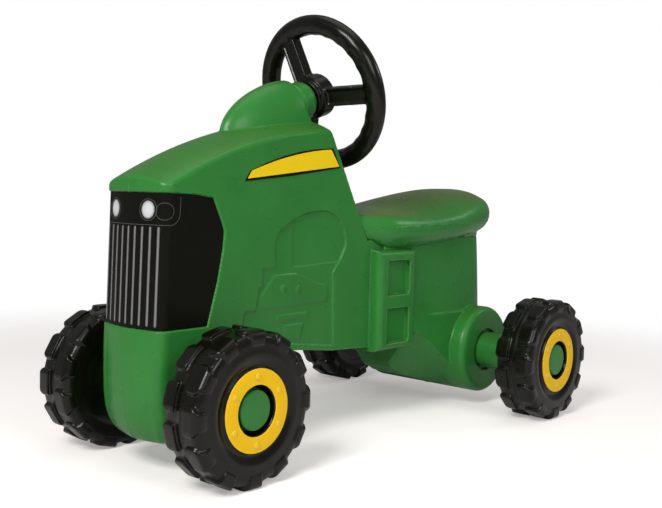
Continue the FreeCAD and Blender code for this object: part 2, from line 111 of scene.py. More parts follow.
def settle(piece):  # bakes the modifiers into a plain mesh
    bpy.context.view_layer.update()
    graph = bpy.context.evaluated_depsgraph_get()
    mesh = bpy.data.meshes.new_from_object(piece.evaluated_get(graph))
    piece.modifiers.clear()
    piece.data = mesh
    return piece


def latheMesh(name, profile, turns=128):  # (radius, distance along Y) outline in mm turned about Y
    points, faces, count = [], [], len(profile)
    for i in range(turns):
        a = 2 * pi * i / turns
        points += [(r * mm * cos(a), w * mm, r * mm * sin(a)) for r, w in profile]
        for j in range(count):
            k, m = (i + 1) % turns, (j + 1) % count
            if profile[j][0] or profile[m][0]:  # nothing is turned along the axis itself
                faces.append((i * count + j, i * count + m, k * count + m, k * count + j))
    mesh = meshFrom(name, points, faces)

    def closeUp(bm):
        bmesh.ops.remove_doubles(bm, verts=bm.verts, dist=1e-7)
        bmesh.ops.recalc_face_normals(bm, faces=bm.faces)

    return edited(mesh, closeUp)


def roundedProfile(profile, radius, steps=4):  # each corner of a closed outline softened by a small curve
    out, count = [], len(profile)
    for i in range(count):
        a, b, c = (Vector(profile[(i + k) % count]) for k in (-1, 0, 1))
        reach = min(radius, (a - b).length * 0.45, (c - b).length * 0.45)
        if b.x == 0:  # a point on the axis stays
            out.append(tuple(b))
            continue
        p, q = b + (a - b).normalized() * reach, b + (c - b).normalized() * reach
        for k in range(steps + 1):
            u = k / steps
            out.append(tuple(p * (1 - u) ** 2 + b * 2 * u * (1 - u) + q * u ** 2))
    return out


def arcThrough(start, middle, end, steps=16):  # points of the circle through three (x, z) points
    (ax, ay), (bx, by), (cx, cy) = start, middle, end
    d = 2 * (ax * (by - cy) + bx * (cy - ay) + cx * (ay - by))
    a2, b2, c2 = ax * ax + ay * ay, bx * bx + by * by, cx * cx + cy * cy
    ox = (a2 * (by - cy) + b2 * (cy - ay) + c2 * (ay - by)) / d
    oy = (a2 * (cx - bx) + b2 * (ax - cx) + c2 * (bx - ax)) / d
    radius, first = hypot(ax - ox, ay - oy), atan2(ay - oy, ax - ox)
    sweep = (atan2(cy - oy, cx - ox) - first + pi) % (2 * pi) - pi
    angles = [first + sweep * i / steps for i in range(steps + 1)]
    return [(ox + radius * cos(a), oy + radius * sin(a)) for a in angles]


def keepLargest(bm):  # drops the inner skin of a hollow moulding
    bm.verts.ensure_lookup_table()
    seen, best = set(), []
    for start in bm.verts:
        if start in seen:
            continue
        seen.add(start)
        stack, island = [start], []
        while stack:
            point = stack.pop()
            island.append(point)
            near = [edge.other_vert(point) for edge in point.link_edges]
            fresh = [other for other in near if other not in seen]
            seen.update(fresh)
            stack += fresh
        best = max(best, island, key=len)
    keep = set(best)
    bmesh.ops.delete(bm, geom=[v for v in bm.verts if v not in keep], context="VERTS")


def soften(piece, look, change=None):  # one closed skin over everything in the mesh, with moulded edges
    skin = piece.modifiers.new("skin", "REMESH")
    skin.mode, skin.voxel_size = "VOXEL", look["voxel"] * mm
    edited(settle(piece).data, keepLargest)
    if change:
        edited(piece.data, change)
    ease = piece.modifiers.new("ease", "SMOOTH")
    ease.factor, ease.iterations = 0.5, look["passes"]
    settle(piece)
    triangles = 2 * len(piece.data.polygons)
    if triangles > look["triangles"]:
        thin = piece.modifiers.new("thin", "DECIMATE")
        thin.ratio = look["triangles"] / triangles
        settle(piece)
    piece.data.polygons.foreach_set("use_smooth", [True] * len(piece.data.polygons))
    return piece


def evenShading(piece):  # large flat faces lead the normals, so flats stay flat beside soft edges
    even = piece.modifiers.new("even", "WEIGHTED_NORMAL")
    even.mode, even.weight = "FACE_AREA", 100
    return settle(piece)


def raiseLine(mesh, point, normal, look, inner=0.0):  # fine raised line where the halves of a mould met
    point, normal = Vector(point) * mm, Vector(normal).normalized()

    def raised(bm):
        for side in (-look["seamHalf"], look["seamHalf"], 0.0):
            everything = bm.verts[:] + bm.edges[:] + bm.faces[:]
            plane = point + normal * side * mm
            bmesh.ops.bisect_plane(bm, geom=everything, dist=1e-7, plane_co=plane, plane_no=normal)
        bm.normal_update()
        onLine = [v for v in bm.verts if abs((v.co - point).dot(normal)) < 2e-6]
        for v in onLine:
            away = v.normal - normal * v.normal.dot(normal)
            if away.length > 0.2 and hypot(v.co.x, v.co.z) > inner * mm:
                v.co += away.normalized() * look["seamHeight"] * mm

    edited(mesh, raised)


def prismInto(bm, outline, y0, y1):  # (x, z) outline in mm as a solid between two y planes
    low, high = ([bm.verts.new((x * mm, y * mm, z * mm)) for x, z in outline] for y in (y0, y1))
    faces = [bm.faces.new(low), bm.faces.new(high[::-1])]
    for i in range(len(outline)):
        faces.append(bm.faces.new((low[i], low[i - 1], high[i - 1], high[i])))
    bmesh.ops.recalc_face_normals(bm, faces=faces)


def plugInto(bm, start, end, radius):  # closes a bore that another piece fills, places in mm
    start, end = Vector(start) * mm, Vector(end) * mm
    turn = (end - start).to_track_quat("Z", "Y").to_matrix().to_4x4()
    place = Matrix.Translation((start + end) / 2) @ turn
    size = {"radius1": radius * mm, "radius2": radius * mm, "depth": (end - start).length}
    bmesh.ops.create_cone(bm, cap_ends=True, segments=48, matrix=place, **size)


def copyOfNode(name, node):  # a CAD mesh is loose triangles, so its copy is merged first
    mesh = nodes[node].data.copy()
    mesh.name = name
    return edited(mesh, lambda bm: bmesh.ops.remove_doubles(bm, verts=bm.verts, dist=1e-6))


def newTree(name, inputs):  # geometry tree with named inputs
    tree = bpy.data.node_groups.new(name, "GeometryNodeTree")
    for label, kind in inputs.items():
        tree.interface.new_socket(label, in_out="INPUT", socket_type="NodeSocket" + kind)
    tree.interface.new_socket("Geometry", in_out="OUTPUT", socket_type="NodeSocketGeometry")
    return tree, put(tree, "NodeGroupInput").outputs


def closeTree(tree, geometry, finish):
    real = put(tree, "GeometryNodeRealizeInstances", {0: geometry})
    done = put(tree, "GeometryNodeSetMaterial", {"Geometry": real.outputs[0], "Material": finish})
    put(tree, "NodeGroupOutput", {"Geometry": done.outputs[0]})
    return tree


def runTree(name, tree, values):  # a plain mesh made wholly by a tree
    piece = addPiece(name, bpy.data.meshes.new(name))
    modifier = piece.modifiers.new(name, "NODES")
    modifier.node_group = tree
    for socket in tree.interface.items_tree:
        if socket.name in values:
            modifier[socket.identifier] = values[socket.name]
    settle(piece)
    piece.data.polygons.foreach_set("use_smooth", [True] * len(piece.data.polygons))
    return piece


# materials

def mouldedPolyethylene(name, look):
    # blow-moulded HDPE: waxy sheen, faint orange peel, uneven pigment, pale edges (rub wear with a painted
    # highlight), dark creases (painted shade), upward faces in a painted top-light tone
    material, tree = newMaterial(name)
    place = put(tree, "ShaderNodeTexCoord").outputs["Object"]
    shape = put(tree, "ShaderNodeNewGeometry").outputs
    drift = {"Vector": place, "Scale": 1 / (70 * mm), "Detail": 3.0}  # 70 mm clouds of pigment
    clouds = put(tree, "ShaderNodeTexNoise", drift).outputs["Fac"]
    stops = [(0.3, look["base"]), (0.72, look["pale"])]
    tone = put(tree, "ShaderNodeValToRGB", {"Fac": clouds}, stops=stops)
    # painted light and shade: upward faces mixed towards a set top tone for how the top lamps fall on them
    upward = put(tree, "ShaderNodeSeparateXYZ", {0: shape["Normal"]}).outputs["Z"]
    upwardLightShare = {"Value": upward, "From Min": 0.55, "From Max": 0.97, "To Max": look["upwardLightShare"]}
    upwardLit = put(tree, "ShaderNodeMapRange", upwardLightShare, interpolation_type="SMOOTHSTEP").outputs["Result"]
    mixed = {"Factor": upwardLit, "A": tone.outputs["Color"], "B": hexColour(look["top"])}
    upper = put(tree, "ShaderNodeMix", mixed, data_type="RGBA").outputs[2]
    # painted highlight with some rub wear: convex edges turned pale, standing in for the light they catch
    near = {"Distance": look["edge"] * mm}  # an edge has little of the moulding within reach behind it
    within = put(tree, "ShaderNodeAmbientOcclusion", near, samples=8, only_local=True, inside=True)
    sharp = {"Value": within.outputs["AO"], "From Min": 0.86, "From Max": 0.55, "To Max": look["edgeWearAndHighlightShare"]}
    edge = put(tree, "ShaderNodeMapRange", sharp).outputs["Result"]
    mixed = {"Factor": edge, "A": upper, "B": hexColour(look["edgeWearAndHighlight"])}
    wornAndLitEdges = put(tree, "ShaderNodeMix", mixed, data_type="RGBA").outputs[2]
    # painted shade: creases and recesses darkened towards a dark colour where the moulding closes round them
    wider = {"Distance": look["crevice"] * mm}  # a crease has much of it within reach in front
    around = put(tree, "ShaderNodeAmbientOcclusion", wider, samples=8, only_local=True)
    hollow = {"Value": around.outputs["AO"], "From Min": 0.88, "From Max": 0.55, "To Max": look["creaseShadeAmount"]}
    creaseShade = put(tree, "ShaderNodeMapRange", hollow).outputs["Result"]
    mixed = {"Factor": creaseShade, "A": wornAndLitEdges, "B": hexColour(look["creaseShade"])}
    creaseShaded = put(tree, "ShaderNodeMix", mixed, data_type="RGBA").outputs[2]
    rubs = {"Vector": place, "Scale": 1 / (18 * mm), "Detail": 4.0}  # 18 mm patches of shine
    patches = put(tree, "ShaderNodeTexNoise", rubs).outputs["Fac"]
    low, high = look["roughness"] - 0.05, look["roughness"] + 0.06
    polish = {"Value": patches, "From Min": 0.3, "From Max": 0.7, "To Min": low, "To Max": high}
    sheen = put(tree, "ShaderNodeMapRange", polish).outputs["Result"]
    grain = {"Vector": place, "Scale": 1 / (3.2 * mm), "Detail": 2.0}  # 3.2 mm orange peel
    peel = put(tree, "ShaderNodeTexNoise", grain).outputs["Fac"]
    bumps = {"Height": peel, "Strength": look["peel"], "Distance": 0.25 * mm}
    relief = put(tree, "ShaderNodeBump", bumps).outputs["Normal"]
    skin = {"Base Color": creaseShaded, "Roughness": sheen, "Normal": relief, "Specular IOR Level": look["gloss"]}
    shader = put(tree, "ShaderNodeBsdfPrincipled", skin)
    put(tree, "ShaderNodeOutputMaterial", {"Surface": shader.outputs["BSDF"]})
    return material


def printedVinyl(name, look):
    # self-adhesive vinyl film: flat ink with a fine print mottle under a smooth semi-gloss face
    material, tree = newMaterial(name)
    place = put(tree, "ShaderNodeTexCoord").outputs["Object"]
    grain = {"Vector": place, "Scale": 1 / (1.4 * mm), "Detail": 5.0, "Roughness": 0.7}  # 1.4 mm ink mottle
    mottle = put(tree, "ShaderNodeTexNoise", grain).outputs["Fac"]
    stops = [(0.35, look["base"]), (0.75, look["fleck"])]
    ink = put(tree, "ShaderNodeValToRGB", {"Fac": mottle}, stops=stops).outputs["Color"]
    waves = {"Vector": place, "Scale": 1 / (24 * mm), "Detail": 2.0}  # 24 mm swells of the film
    swells = put(tree, "ShaderNodeTexNoise", waves).outputs["Fac"]
    bumps = {"Height": swells, "Strength": 0.12, "Distance": 0.4 * mm}
    relief = put(tree, "ShaderNodeBump", bumps).outputs["Normal"]
    film = {"Base Color": ink, "Normal": relief, "Specular IOR Level": look["gloss"]}
    shader = put(tree, "ShaderNodeBsdfPrincipled", {**film, "Roughness": look["roughness"]})
    put(tree, "ShaderNodeOutputMaterial", {"Surface": shader.outputs["BSDF"]})
    return material


def shadedPrint(name, stops, roughness):
    # printed tone that runs from light to dark across a shape, as on a picture of a bar or a lamp
    material, tree = newMaterial(name)
    place = put(tree, "ShaderNodeTexCoord").outputs["Object"]
    across = put(tree, "ShaderNodeAttribute", attribute_name="across").outputs["Fac"]
    screen = {"Vector": place, "Scale": 1 / (0.9 * mm), "Detail": 2.0}  # 0.9 mm print dots
    dots = put(tree, "ShaderNodeTexNoise", screen).outputs["Fac"]
    drift = {0: dots, 1: 0.3, 2: -0.15}
    shift = put(tree, "ShaderNodeMath", drift, operation="MULTIPLY_ADD").outputs[0]
    total = put(tree, "ShaderNodeMath", {0: across, 1: shift}, operation="ADD").outputs[0]
    ink = put(tree, "ShaderNodeValToRGB", {"Fac": total}, stops=stops).outputs["Color"]
    film = {"Base Color": ink, "Roughness": roughness, "Specular IOR Level": 0.25}
    shader = put(tree, "ShaderNodeBsdfPrincipled", film)
    put(tree, "ShaderNodeOutputMaterial", {"Surface": shader.outputs["BSDF"]})
    return material


def zincPlatedSteel(name):
    # drawn rod and pressed nuts with bright zinc: grey metal with fine drawing lines along Y
    material, tree = newMaterial(name)
    place = put(tree, "ShaderNodeTexCoord").outputs["Object"]
    along = put(tree, "ShaderNodeMapping", {"Vector": place, "Scale": (1.0, 0.03, 1.0)}).outputs["Vector"]
    fine = {"Vector": along, "Scale": 1 / (0.5 * mm), "Detail": 3.0}  # 0.5 mm drawing lines
    lines = put(tree, "ShaderNodeTexNoise", fine).outputs["Fac"]
    tone = put(tree, "ShaderNodeValToRGB", {"Fac": lines}, stops=[(0.3, "#8f9194"), (0.7, "#c3c5c8")])
    polish = {"Value": lines, "To Min": 0.22, "To Max": 0.42}
    gloss = put(tree, "ShaderNodeMapRange", polish).outputs["Result"]
    metal = {"Base Color": tone.outputs["Color"], "Metallic": 1.0, "Roughness": gloss}
    shader = put(tree, "ShaderNodeBsdfPrincipled", metal)
    put(tree, "ShaderNodeOutputMaterial", {"Surface": shader.outputs["BSDF"]})
    return material


greenLook = {
    "base": "#2c7831", "pale": "#318036", "edgeWearAndHighlight": "#7fb85a", "edgeWearAndHighlightShare": 0.55, "creaseShade": "#0a2b10", "creaseShadeAmount": 1.0,
    "edge": 2.2, "crevice": 3.4,  # how far from an edge or a crease its tone reaches, in mm
    # top: the painted tone that upward faces take for how the light falls on them
    "top": "#356a24", "upwardLightShare": 0.75, "roughness": 0.31, "peel": 0.06, "gloss": 0.3,
}
capGreenLook = {**greenLook, "edge": 0.9, "crevice": 0.9, "upwardLightShare": 0.0}
# the seat's upward faces take a yellower painted top-light tone
seatGreenLook = {**greenLook, "top": "#4a6422", "upwardLightShare": 0.9, "roughness": 0.27, "gloss": 0.36}
blackLook = {
    "base": "#0a0a05", "pale": "#11110a", "edgeWearAndHighlight": "#2a2b22", "edgeWearAndHighlightShare": 0.4, "creaseShade": "#040402", "creaseShadeAmount": 0.4,
    "edge": 1.6, "crevice": 1.6,
    "top": "#0f0f08", "upwardLightShare": 0.2, "roughness": 0.22, "peel": 0.04, "gloss": 0.3,
}
yellowLook = {
    "base": "#f9c60a", "pale": "#fbcb12", "edgeWearAndHighlight": "#f9d860", "edgeWearAndHighlightShare": 0.3, "creaseShade": "#a87606", "creaseShadeAmount": 0.7,
    "edge": 1.0, "crevice": 1.0,
    "top": "#f7c61a", "upwardLightShare": 0.2, "roughness": 0.4, "peel": 0.04, "gloss": 0.18,
}
filmLooks = {
    "black": {"base": "#0d0e09", "fleck": "#151610", "roughness": 0.4, "gloss": 0.08},
    "yellow": {"base": "#f6d00e", "fleck": "#f8d61c", "roughness": 0.38, "gloss": 0.2},
    "grey": {"base": "#4a4b47", "fleck": "#5a5b57", "roughness": 0.42, "gloss": 0.25},
}
greenMoulded = mouldedPolyethylene("greenPolyethyleneMoulded", greenLook)
seatMoulded = mouldedPolyethylene("seatPolyethyleneMoulded", seatGreenLook)
capMoulded = mouldedPolyethylene("capPolyethyleneMoulded", capGreenLook)
blackMoulded = mouldedPolyethylene("blackPolyethyleneMoulded", blackLook)
yellowMoulded = mouldedPolyethylene("yellowPolyethyleneMoulded", yellowLook)
blackFilm = printedVinyl("blackVinylFilm", filmLooks["black"])
yellowFilm = printedVinyl("yellowVinylFilm", filmLooks["yellow"])
greyLine = printedVinyl("greyVinylLine", filmLooks["grey"])
slatTones = [(0.0, "#2a2a27"), (0.3, "#6a686c"), (0.6, "#88868c"), (1.0, "#333331")]
lampTones = [(0.0, "#d6d7da"), (0.72, "#c6c8cb"), (1.0, "#828486")]
slatPrint = shadedPrint("greySlatPrint", slatTones, 0.4)
lampPrint = shadedPrint("whiteLampPrint", lampTones, 0.35)
zincSteel = zincPlatedSteel("zincPlatedSteel")
slotFinish = {
    "green_plastic": greenMoulded, "black_plastic": blackMoulded, "yellow_plastic": yellowMoulded,
    "black_label": blackFilm, "axle_steel": zincSteel,
    "yellow_label": blackFilm,  # the dark border under the yellow film
}
for part in frame["record"]["subparts"]:
    finish = nodes[part["node"]].data.materials
    finish.clear()
    finish.append(slotFinish[part["material_slot"]])
print("materials:", len(bpy.data.materials))


# body moulding

steerCentre = Vector(joints["steering_turn"]["pos_m"])
steerAxis = Vector(joints["steering_turn"]["axis"]).normalized()
bodyLook = {
    "voxel": 1.0, "passes": 2, "triangles": 190000,
    "seamHalf": 0.8, "seamHeight": 0.45,
    "plugRadius": 9.8, "plugDeep": 3.5, "frontWall": 46.0, "rearWall": 76.0,  # bores that the spacers fill
    "pegRadius": 8.8, "pegPlaces": (-90.0, -210.0), "seatFloor": 214.0, "bossFace": -29.0,
    "side": 46.0, "panelFloor": 43.5, "sunk": 0.6,
    "lowerHeight": 0.9, "upperHeight": 0.6,  # low steps in the engine panel
    "lowerStep": [(156, 148), (147, 189.4), (92, 188.8), (26, 192), (37, 181.5), (34, 98), (127, 110)],
    "upperStep": [(129.5, 186), (129.5, 219), (123, 227), (102, 239), (100.7, 186)],
    "notch": [(146, 191), (146, 172), (152, 170), (153.5, 167), (154.5, 148.5), (160, 148.5), (160, 191)],
    "frontStep": [(150, 148.4), (168.2, 148.4), (171.5, 136), (150, 118), (122, 110), (138, 130)],
}


def bodyDetails(bm):
    look, deep, radius = bodyLook, bodyLook["plugDeep"], bodyLook["plugRadius"]
    for joint, wall in (("front_left_roll", look["frontWall"]), ("rear_left_roll", look["rearWall"])):
        x, _, z = Vector(joints[joint]["pos_m"]) / mm
        for side in (1, -1):
            plugInto(bm, (x, side * (wall - deep), z), (x, side * wall, z), radius)
    for x in look["pegPlaces"]:
        plugInto(bm, (x, 0, look["seatFloor"] - deep), (x, 0, look["seatFloor"]), look["pegRadius"])
    face = steerCentre / mm + steerAxis * look["bossFace"]
    plugInto(bm, face - steerAxis * deep, face, radius)
    for step in ("lower", "upper"):
        for side in (1, -1):
            floor = side * look["panelFloor"]
            under, over = floor - side * look["sunk"], floor + side * look[step + "Height"]
            prismInto(bm, look[step + "Step"], under, over)
    for side in (1, -1):
        prismInto(bm, look["notch"], side * look["panelFloor"], side * look["side"])


def inside(outline, x, z):
    hit = False
    for i, (x1, z1) in enumerate(outline):
        x0, z0 = outline[i - 1]
        if (z0 > z) != (z1 > z) and x < (x1 - x0) * (z - z0) / (z1 - z0) + x0:
            hit = not hit
    return hit


def pressFrontStep(bm):  # the lower step runs on in front of the panel
    level = (bodyLook["panelFloor"] + bodyLook["lowerHeight"]) * mm
    for v in bm.verts:
        if abs(v.co.y) > level and inside(bodyLook["frontStep"], v.co.x / mm, v.co.z / mm):
            v.co.y = level if v.co.y > 0 else -level


bodyMesh = edited(copyOfNode("bodyMoulding", "body_shell"), bodyDetails)
bodyMoulding = soften(addPiece("bodyMoulding", bodyMesh, greenMoulded), bodyLook, pressFrontStep)
raiseLine(bodyMoulding.data, (0, 0, 0), (0, 1, 0), bodyLook)
evenShading(bodyMoulding)
handOver(bodyMoulding, "chassis", "green_plastic", "body_shell")
print("body moulding:", len(bodyMoulding.data.polygons), "faces")


# seat moulding

seatLook = {
    "voxel": 1.0, "passes": 25, "triangles": 150000,
    # (x, z) outline of the underside round the top of the pedestal, which is filled as far as its half width
    "underside": [
        (-38, 216), (-38, 210.5), (-50, 205.2), (-85, 204.8), (-120, 206.8), (-160, 210.3), (-195, 213.8),
        (-195, 216),
    ],
    "underHalf": 51.8,
    "seamPoint": (-150, 0, 232), "seamNormal": (0.03, 0, 1), "seamHalf": 0.9, "seamHeight": 0.4,
}


def fillUnderside(bm):
    prismInto(bm, seatLook["underside"], -seatLook["underHalf"], seatLook["underHalf"])


seatMesh = edited(copyOfNode("seatMoulding", "seat"), fillUnderside)
seatMoulding = soften(addPiece("seatMoulding", seatMesh, seatMoulded), seatLook)
raiseLine(seatMoulding.data, seatLook["seamPoint"], seatLook["seamNormal"], seatLook)
handOver(seatMoulding, "chassis", "green_plastic", "seat")
print("seat moulding:", len(seatMoulding.data.polygons), "faces")


# print on the film round the nose: u runs round the nose from its middle, z is the height, both in mm

noseLook = {
    "low": 117.0, "lowFront": 279.2, "high": 430.0, "highFront": 269.4,  # the nose leans back
    "half": 44.4, "corner": 10.4, "bow": 5.0, "depth": 1.6,
    "lampU": 24.5, "lampZ": 247.3, "lampWide": 7.6, "lampHigh": 8.2, "lampRise": 0.45, "lampEdge": 0.12,
    "rimWide": 10.0, "rimHigh": 9.8, "sideU": 42.7, "sideZ": 246.1, "sideWide": 9.0, "sideHigh": 7.7,
    "lineWidth": 0.6, "lineRise": 0.1, "lineZ": 233.6, "lineEnd": 59.0, "lineTop": 259.0, "lineBend": 11.0,
    "sunk": -0.2,
}
slatLook = {
    "count": 9, "pitch": 9.25, "width": 3.2, "low": 141.2, "high": 232.0, "rise": 0.45, "end": 1.5,
    "castFrom": 350.0, "castReach": 300.0,  # where the rays that lay the slats on the film start and end
}


def onNose(u, z, lift):
    look = noseLook
    lean = (z - look["low"]) / (look["high"] - look["low"])
    front = look["lowFront"] + (look["highFront"] - look["lowFront"]) * lean - look["depth"]
    half, corner, bow = look["half"], look["corner"], look["bow"]
    chord = half - corner
    radius = (chord ** 2 + bow ** 2) / (2 * bow)
    arc, turn = radius * asin(chord / radius), corner * pi / 2
    side, far = (1 if u >= 0 else -1), abs(u)
    if far <= arc:  # bowed front
        a = far / radius
        x, y, nx, ny = front - radius + radius * cos(a), radius * sin(a), cos(a), sin(a)
    elif far <= arc + turn:  # round corner
        a = (far - arc) / corner
        x, y, nx, ny = front - bow - corner + corner * cos(a), chord + corner * sin(a), cos(a), sin(a)
    else:  # flat side
        x, y, nx, ny = front - bow - corner - (far - arc - turn), half, 0, 1
    return Vector((x + nx * lift, side * (y + ny * lift), z)) * mm


def filmStrip(path, closed):  # thin raised line along (u, z) points
    points, faces, count = [], [], len(path)
    low, high, half = noseLook["sunk"], noseLook["lineRise"], noseLook["lineWidth"] / 2
    for i, (u, z) in enumerate(path):
        before = path[i - 1] if i or closed else path[0]
        after = path[(i + 1) % count] if i < count - 1 or closed else path[-1]
        du, dz = after[0] - before[0], after[1] - before[1]
        nu, nz = -dz / hypot(du, dz) * half, du / hypot(du, dz) * half
        for share, lift in ((1, low), (0.7, high), (-0.7, high), (-1, low)):
            points.append(onNose(u + nu * share, z + nz * share, lift))
    for i in range(count if closed else count - 1):
        a, b = 4 * i, 4 * ((i + 1) % count)
        faces += [(a + k, a + (k + 1) % 4, b + (k + 1) % 4, b + k) for k in range(4)]
    if not closed:
        faces += [(0, 1, 2, 3), tuple(4 * count - k for k in (1, 2, 3, 4))]
    return points, faces, []


def lampDome(u, z, rings=8, spokes=48):  # shallow oval dome, its tone running out from the middle
    look = noseLook
    rise, edge = look["lampRise"], look["lampEdge"]
    points, faces, across = [onNose(u, z, rise)], [], [0.0]
    for i in range(1, rings + 2):
        share = min(i, rings) / rings
        lift = edge + (rise - edge) * (1 - share ** 2) if i <= rings else look["sunk"]
        for k in range(spokes):
            a = 2 * pi * k / spokes
            spot = (u + look["lampWide"] * share * cos(a), z + look["lampHigh"] * share * sin(a))
            points.append(onNose(*spot, lift))
            across.append(share)
    for k in range(spokes):
        m = (k + 1) % spokes
        faces.append((0, 1 + k, 1 + m))
        for i in range(rings):
            a, b = 1 + i * spokes, 1 + (i + 1) * spokes
            faces.append((a + k, b + k, b + m, a + m))
    faces.append(tuple(1 + rings * spokes + k for k in range(spokes)))
    return points, faces, across


def joined(name, parts):
    points, faces, across = [], [], []
    for morePoints, moreFaces, moreAcross in parts:
        faces += [tuple(len(points) + i for i in face) for face in moreFaces]
        points += morePoints
        across += moreAcross
    return meshFrom(name, points, faces, across)


def ovalPath(u, z, wide, high, steps=72):
    angles = [2 * pi * i / steps for i in range(steps)]
    return [(u + wide * cos(a), z + high * sin(a)) for a in angles]


def framePath(step=2.0):  # line under the lamps that bends up on each side of the nose
    look = noseLook
    level, bend, end = look["lineZ"], look["lineBend"], look["lineEnd"]
    path = [(step * i, level) for i in range(int((end - bend) / step))]
    angles = [pi / 2 * i / 12 for i in range(13)]
    path += [(end - bend + bend * sin(a), level + bend - bend * cos(a)) for a in angles]
    path += [(end, level + bend + (look["lineTop"] - level - bend) * i / 5) for i in range(1, 6)]
    return [(-u, z) for u, z in path[:0:-1]] + path


noseParts, lampParts = [filmStrip(framePath(), False)], []
for side in (1, -1):
    lampU, sideU = side * noseLook["lampU"], side * noseLook["sideU"]
    rim = ovalPath(lampU, noseLook["lampZ"], noseLook["rimWide"], noseLook["rimHigh"])
    corner = ovalPath(sideU, noseLook["sideZ"], noseLook["sideWide"], noseLook["sideHigh"])
    noseParts += [filmStrip(rim, True), filmStrip(corner, True)]
    lampParts.append(lampDome(lampU, noseLook["lampZ"]))
noseLines = addPiece("noseLines", joined("noseLines", noseParts), greyLine)
handOver(noseLines, "chassis", "black_label")
headLamps = addPiece("headLamps", joined("headLamps", lampParts), lampPrint)
handOver(headLamps, "chassis", "black_label")


def slatMesh(columns=8, rows=40):  # one round-ended bar, x standing for its height over the film
    look, points, faces, across = slatLook, [], [], []
    long = look["high"] - look["low"]
    for j in range(rows + 1):
        z = look["low"] + long * (1 - cos(pi * j / rows)) / 2
        inset = min(z - look["low"], look["high"] - z) / look["end"]
        taper = sqrt(max(0.05, 1 - max(0.0, 1 - inset) ** 2))
        for i in range(columns + 1):
            v = 2 * i / columns - 1
            rise, wide = look["rise"] * sqrt(1 - 0.96 * v * v), look["width"] / 2 * v
            points.append(Vector((rise * taper, wide * taper, z)) * mm)
            across.append(i / columns)
        points.append(Vector((noseLook["sunk"], 0, z)) * mm)
        across.append(0.5)
    ring = columns + 2
    for j in range(rows):
        for i in range(ring):
            k = (i + 1) % ring
            faces.append((j * ring + i, j * ring + k, (j + 1) * ring + k, (j + 1) * ring + i))
    faces += [tuple(range(ring)), tuple(rows * ring + i for i in range(ring))]
    return meshFrom("oneSlat", points, faces, across)


def slatTree():  # a row of upright bars laid on the film by casting each point back onto it
    inputs = {"Slat": "Object", "Film": "Object", "Count": "Int", "Pitch": "Float", "Ink": "Material"}
    tree, given = newTree("noseSlats", inputs)
    start, reach = slatLook["castFrom"] * mm, slatLook["castReach"] * mm
    slat = put(tree, "GeometryNodeObjectInfo", {"Object": given["Slat"]}).outputs["Geometry"]
    film = put(tree, "GeometryNodeObjectInfo", {"Object": given["Film"]}).outputs["Geometry"]
    step = put(tree, "ShaderNodeCombineXYZ", {"Y": given["Pitch"]}).outputs[0]
    middle = {0: given["Count"], 1: -0.5, 2: 0.5}
    half = put(tree, "ShaderNodeMath", middle, operation="MULTIPLY_ADD").outputs[0]
    first = put(tree, "ShaderNodeVectorMath", {0: step, "Scale": half}, operation="SCALE").outputs[0]
    line = {"Count": given["Count"], "Start Location": first, "Offset": step}
    row = put(tree, "GeometryNodeMeshLine", line, mode="OFFSET").outputs[0]
    copies = put(tree, "GeometryNodeInstanceOnPoints", {"Points": row, "Instance": slat}).outputs[0]
    real = put(tree, "GeometryNodeRealizeInstances", {0: copies}).outputs[0]
    spot = put(tree, "GeometryNodeInputPosition").outputs[0]
    parts = put(tree, "ShaderNodeSeparateXYZ", {0: spot}).outputs
    source = put(tree, "ShaderNodeCombineXYZ", {"X": start, "Y": parts["Y"], "Z": parts["Z"]}).outputs[0]
    ray = {"Target Geometry": film, "Source Position": source, "Ray Direction": (-1, 0, 0)}
    cast = put(tree, "GeometryNodeRaycast", {**ray, "Ray Length": reach}).outputs
    away = {0: cast["Hit Normal"], "Scale": parts["X"]}
    lift = put(tree, "ShaderNodeVectorMath", away, operation="SCALE").outputs[0]
    laid = put(tree, "ShaderNodeVectorMath", {0: cast["Hit Position"], 1: lift}, operation="ADD").outputs[0]
    placed = put(tree, "GeometryNodeSetPosition", {"Geometry": real, "Position": laid}).outputs[0]
    return closeTree(tree, placed, given["Ink"])


oneSlat = addPiece("oneSlat", slatMesh(), slatPrint)
slatRow = {
    "Slat": oneSlat, "Film": nodes["grille_label"], "Ink": slatPrint,
    "Count": slatLook["count"], "Pitch": slatLook["pitch"] * mm,
}
noseSlats = runTree("noseSlats", slatTree(), slatRow)
bpy.data.objects.remove(oneSlat)
handOver(noseSlats, "chassis", "black_label")
print("nose print:", slatLook["count"], "slats,", len(lampParts), "lamps")


# hood films, bare yellow on a dark border

hoodFilmLook = {
    "border": 46.6, "thick": 0.16, "sunk": 0.1,
    "front": (169.3, 278.4), "back": (34.6, 295.2), "lowMiddle": (110.6, 285.7),
    "topFront": (163.8, 286.2), "topMiddle": (107.0, 303.4), "topBack": (47.9, 312.7),
}


def hoodFilm(name, side):
    look = hoodFilmLook
    top = arcThrough(look["topFront"], look["topMiddle"], look["topBack"])
    outline = [look["front"]] + top + [look["back"], look["lowMiddle"]]
    low, high = side * (look["border"] - look["sunk"]), side * (look["border"] + look["thick"])
    mesh = edited(bpy.data.meshes.new(name), lambda bm: prismInto(bm, outline, low, high))
    film = addPiece(name, mesh, yellowFilm)
    mesh.polygons.foreach_set("use_smooth", [False] * len(mesh.polygons))  # flat with square edges
    handOver(film, "chassis", "yellow_label")


hoodFilm("hoodFilmLeft", 1)
hoodFilm("hoodFilmRight", -1)
print("hood films: 2")


# wheels

